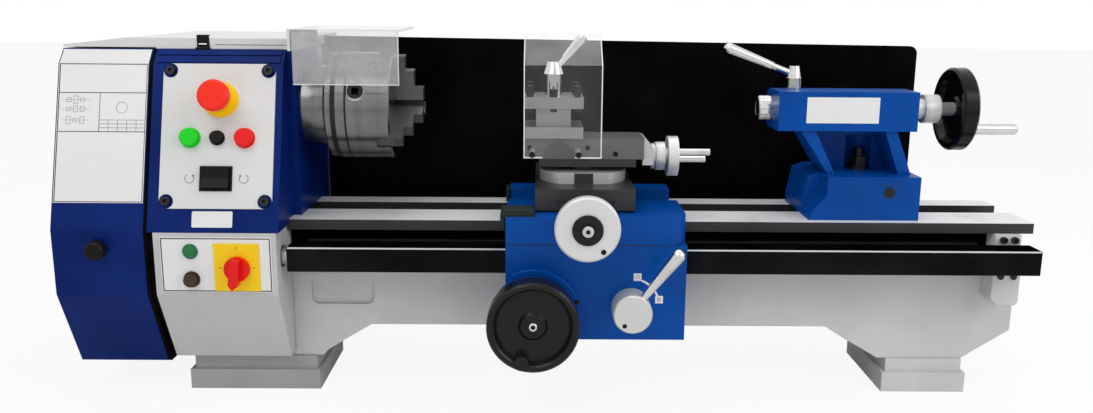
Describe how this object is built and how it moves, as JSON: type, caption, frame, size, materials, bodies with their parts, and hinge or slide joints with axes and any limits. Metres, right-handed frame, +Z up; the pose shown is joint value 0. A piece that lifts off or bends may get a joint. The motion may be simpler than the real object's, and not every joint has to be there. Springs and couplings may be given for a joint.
{
  "type": "bench lathe",
  "caption": "Bench lathe with a three-jaw chuck and guard, carriage with cross slide, swivelling top slide and tool post, tailstock, lead screw, splash guard and control panel.",
  "frame": {"origin": "at bench level, midway between the four bench bolt holes of the two feet, under the spindle axis", "axes": "+X along the bed from the headstock towards the tailstock, +Y away from the operator, +Z up"},
  "size_m": [1.111, 0.387, 0.426],
  "materials": {
    "grey_paint": "satin",
    "pale_paint": "satin",
    "blue_paint": "gloss",
    "dark_blue_paint": "gloss",
    "black_paint": "satin",
    "steel": "turned and ground",
    "satin_steel": "satin",
    "ground_iron": "ground",
    "dark_steel": "blackened",
    "cast_iron": "machined",
    "aluminium": "turned",
    "chrome": "polished",
    "brass": "machined",
    "rubber": "matte",
    "black_plastic": "satin",
    "red_plastic": "gloss",
    "green_plastic": "gloss",
    "clear_plastic": "clear",
    "frosted_plastic": "frosted"
  },
  "bodies": {
    "frame": {"bed": "grey_paint", "feet": "grey_paint", "feed_rack": "steel", "lead_screw_cover": "black_paint", "bearings": "steel", "headstock": "blue_paint", "headstock_lid": "pale_paint", "gear_backplate": "black_paint", "gear_quadrant": "cast_iron", "control_box": "blue_paint", "control_panel": "pale_paint", "lamp_and_fuses": "black_plastic", "electrical_box": "pale_paint", "motor": "black_paint", "drive_belt": "rubber", "cable_gland": "black_plastic", "splash_guard": "black_paint", "socket_screws": "dark_steel"},
    "gear_cover": {"gear_cover": "dark_blue_paint"},
    "cover_knob": {"cover_knob": "black_plastic"},
    "spindle": {"spindle": "steel", "spindle_pulley": "aluminium", "spindle_gear": "steel", "chuck_backplate": "steel", "chuck_body": "steel"},
    "chuck_scroll": {"chuck_scroll": "steel"},
    "chuck_jaw_1": {"chuck_jaw_1": "steel"},
    "chuck_jaw_2": {"chuck_jaw_2": "steel"},
    "chuck_jaw_3": {"chuck_jaw_3": "steel"},
    "chuck_pinion": {"chuck_pinion": "dark_steel"},
    "motor_pulley": {"motor_pulley": "aluminium"},
    "idler_gear": {"idler_gear": "cast_iron"},
    "lead_screw": {"lead_screw": "steel"},
    "carriage": {"saddle": "blue_paint", "apron": "blue_paint"},
    "half_nut": {"half_nut": "brass"},
    "apron_handwheel": {"apron_handwheel": "black_plastic"},
    "rack_pinion": {"rack_pinion": "steel"},
    "half_nut_lever": {"half_nut_lever": "chrome"},
    "cross_slide": {"cross_slide": "ground_iron"},
    "cross_handwheel": {"cross_handwheel": "satin_steel"},
    "swivel": {"compound_base": "ground_iron"},
    "compound_slide": {"compound_slide": "ground_iron", "tool_shield": "clear_plastic"},
    "compound_handwheel": {"compound_handwheel": "satin_steel"},
    "tool_post": {"tool_post": "ground_iron", "tool_screws": "dark_steel"},
    "tool_post_lever": {"tool_post_lever": "chrome"},
    "tailstock": {"tailstock_base": "blue_paint", "tailstock_body": "blue_paint"},
    "quill": {"quill": "chrome"},
    "tailstock_handwheel": {"tailstock_handwheel": "black_plastic"},
    "wheel_handle": {"wheel_handle": "chrome"},
    "quill_lock_lever": {"quill_lock_lever": "chrome"},
    "chuck_guard": {"chuck_guard": "frosted_plastic"},
    "estop_button": {"estop_button": "red_plastic"},
    "start_button": {"start_button": "green_plastic"},
    "stop_button": {"stop_button": "red_plastic"},
    "direction_switch": {"direction_switch": "black_plastic"},
    "main_switch_knob": {"main_switch_knob": "red_plastic"}
  },
  "joints": [
    {"name": "spindle_spin", "type": "hinge", "parent": "frame", "child": "spindle", "pos_m": [-0.4, 0, 0.335], "axis": [1, 0, 0], "continuous": true},
    {"name": "motor_spin", "type": "hinge", "parent": "frame", "child": "motor_pulley", "pos_m": [-0.5, 0.128, 0.15], "axis": [1, 0, 0], "continuous": true},
    {"name": "idler_spin", "type": "hinge", "parent": "frame", "child": "idler_gear", "pos_m": [-0.542, -0.02235, 0.23738], "axis": [1, 0, 0], "continuous": true},
    {"name": "lead_screw_spin", "type": "hinge", "parent": "frame", "child": "lead_screw", "pos_m": [0, -0.088, 0.172], "axis": [1, 0, 0], "continuous": true},
    {"name": "scroll_turn", "type": "hinge", "parent": "spindle", "child": "chuck_scroll", "pos_m": [-0.256, 0, 0.335], "axis": [-1, 0, 0], "range_deg": [0, 960.1]},
    {"name": "jaw_1_slide", "type": "slide", "parent": "spindle", "child": "chuck_jaw_1", "axis": [0, -0.1564, 0.9877], "range_m": [0, 0.016]},
    {"name": "jaw_2_slide", "type": "slide", "parent": "spindle", "child": "chuck_jaw_2", "axis": [0, -0.7771, -0.6293], "range_m": [0, 0.01601]},
    {"name": "jaw_3_slide", "type": "slide", "parent": "spindle", "child": "chuck_jaw_3", "axis": [0, 0.9336, -0.3584], "range_m": [0, 0.01601]},
    {"name": "key_pinion_turn", "type": "hinge", "parent": "spindle", "child": "chuck_pinion", "pos_m": [-0.2715, 0, 0.335], "axis": [0, -0.9336, 0.3584], "range_deg": [-3840.1, 0]},
    {"name": "cover_swing", "type": "hinge", "parent": "frame", "child": "gear_cover", "pos_m": [-0.4993, 0.195, 0.25], "axis": [0, 0, -1], "range_deg": [0, 100]},
    {"name": "cover_knob_turn", "type": "hinge", "parent": "gear_cover", "child": "cover_knob", "pos_m": [-0.55, -0.115, 0.186], "axis": [0, 1, 0], "range_deg": [0, 90]},
    {"name": "carriage_slide", "type": "slide", "parent": "frame", "child": "carriage", "axis": [1, 0, 0], "range_m": [-0.115, 0.11]},
    {"name": "apron_handwheel_turn", "type": "hinge", "parent": "carriage", "child": "apron_handwheel", "pos_m": [-0.068, -0.15, 0.117], "axis": [0, 1, 0], "range_deg": [-1255.1, 1200.5]},
    {"name": "rack_pinion_turn", "type": "hinge", "parent": "carriage", "child": "rack_pinion", "pos_m": [-0.05928, -0.065, 0.16135], "axis": [0, 1, 0], "range_deg": [-600.3, 627.6]},
    {"name": "half_nut_lever_turn", "type": "hinge", "parent": "carriage", "child": "half_nut_lever", "pos_m": [0.04, -0.14, 0.126], "axis": [0, 1, 0], "range_deg": [0, 60.1]},
    {"name": "half_nut_lift", "type": "slide", "parent": "carriage", "child": "half_nut", "axis": [0, 0, 1], "range_m": [0, 0.007]},
    {"name": "cross_handwheel_turn", "type": "hinge", "parent": "carriage", "child": "cross_handwheel", "pos_m": [-0.011, -0.15, 0.223], "axis": [0, -1, 0], "range_deg": [-6300.1, 4500.1]},
    {"name": "cross_slide_travel", "type": "slide", "parent": "carriage", "child": "cross_slide", "axis": [0, 1, 0], "range_m": [-0.035, 0.025]},
    {"name": "compound_swivel", "type": "hinge", "parent": "cross_slide", "child": "swivel", "pos_m": [-0.0115, -0.025, 0.26], "axis": [0, 0, -1], "range_deg": [-45, 45]},
    {"name": "compound_travel", "type": "slide", "parent": "swivel", "child": "compound_slide", "axis": [1, 0, 0], "range_m": [-0.007, 0.045]},
    {"name": "compound_handwheel_turn", "type": "hinge", "parent": "compound_slide", "child": "compound_handwheel", "pos_m": [0.09, -0.025, 0.28], "axis": [1, 0, 0], "range_deg": [-1260.1, 8100.1]},
    {"name": "tool_post_index", "type": "hinge", "parent": "compound_slide", "child": "tool_post", "pos_m": [-0.0465, -0.025, 0.32], "axis": [0, 0, 1], "continuous": true},
    {"name": "tool_post_lever_turn", "type": "hinge", "parent": "compound_slide", "child": "tool_post_lever", "pos_m": [-0.0465, -0.025, 0.36], "axis": [0, 0, 1], "range_deg": [0, 90]},
    {"name": "tailstock_slide", "type": "slide", "parent": "frame", "child": "tailstock", "axis": [1, 0, 0], "range_m": [-0.11, 0.12]},
    {"name": "tailstock_handwheel_turn", "type": "hinge", "parent": "tailstock", "child": "tailstock_handwheel", "pos_m": [0.42, 0, 0.335], "axis": [1, 0, 0], "range_deg": [0, 5040.1]},
    {"name": "quill_travel", "type": "slide", "parent": "tailstock", "child": "quill", "axis": [-1, 0, 0], "range_m": [0, 0.07]},
    {"name": "handle_spin", "type": "hinge", "parent": "tailstock_handwheel", "child": "wheel_handle", "pos_m": [0.46, -0.032, 0.315], "axis": [1, 0, 0], "continuous": true},
    {"name": "quill_lock_turn", "type": "hinge", "parent": "tailstock", "child": "quill_lock_lever", "pos_m": [0.239, 0, 0.37], "axis": [0, 0, 1], "range_deg": [0, 60]},
    {"name": "chuck_guard_swing", "type": "hinge", "parent": "frame", "child": "chuck_guard", "pos_m": [-0.34, 0.07, 0.39], "axis": [-1, 0, 0], "range_deg": [0, 95]},
    {"name": "estop_press", "type": "slide", "parent": "frame", "child": "estop_button", "axis": [0, 0.9559, -0.2935], "range_m": [0, 0.004], "stiffness_N_per_m": 1500},
    {"name": "start_press", "type": "slide", "parent": "frame", "child": "start_button", "axis": [0, 0.9559, -0.2935], "range_m": [0, 0.0025], "stiffness_N_per_m": 800},
    {"name": "stop_press", "type": "slide", "parent": "frame", "child": "stop_button", "axis": [0, 0.9559, -0.2935], "range_m": [0, 0.0025], "stiffness_N_per_m": 800},
    {"name": "direction_rocker", "type": "hinge", "parent": "frame", "child": "direction_switch", "pos_m": [-0.42, -0.10088, 0.26309], "axis": [1, 0, 0], "range_deg": [-10, 10]},
    {"name": "main_switch_turn", "type": "hinge", "parent": "frame", "child": "main_switch_knob", "pos_m": [-0.396, -0.12, 0.165], "axis": [0, 1, 0], "range_deg": [0, 90]}
  ],
  "couplings": [
    {"joint": "motor_spin", "follows": "spindle_spin", "ratio": 2.2727},
    {"joint": "idler_spin", "follows": "spindle_spin", "ratio": -0.33333},
    {"joint": "lead_screw_spin", "follows": "spindle_spin", "ratio": 1.4286},
    {"joint": "jaw_2_slide", "follows": "jaw_1_slide", "ratio": 1},
    {"joint": "jaw_3_slide", "follows": "jaw_1_slide", "ratio": 1},
    {"joint": "scroll_turn", "follows": "jaw_1_slide", "rad_per_m": 1047.2},
    {"joint": "key_pinion_turn", "follows": "jaw_1_slide", "rad_per_m": -4188.8},
    {"joint": "rack_pinion_turn", "follows": "carriage_slide", "rad_per_m": -95.238},
    {"joint": "apron_handwheel_turn", "follows": "carriage_slide", "rad_per_m": 190.48},
    {"joint": "half_nut_lever_turn", "follows": "half_nut_lift", "rad_per_m": 149.6},
    {"joint": "cross_handwheel_turn", "follows": "cross_slide_travel", "rad_per_m": 3141.6},
    {"joint": "compound_handwheel_turn", "follows": "compound_travel", "rad_per_m": 3141.6},
    {"joint": "tailstock_handwheel_turn", "follows": "quill_travel", "rad_per_m": 1256.6}
  ]
}
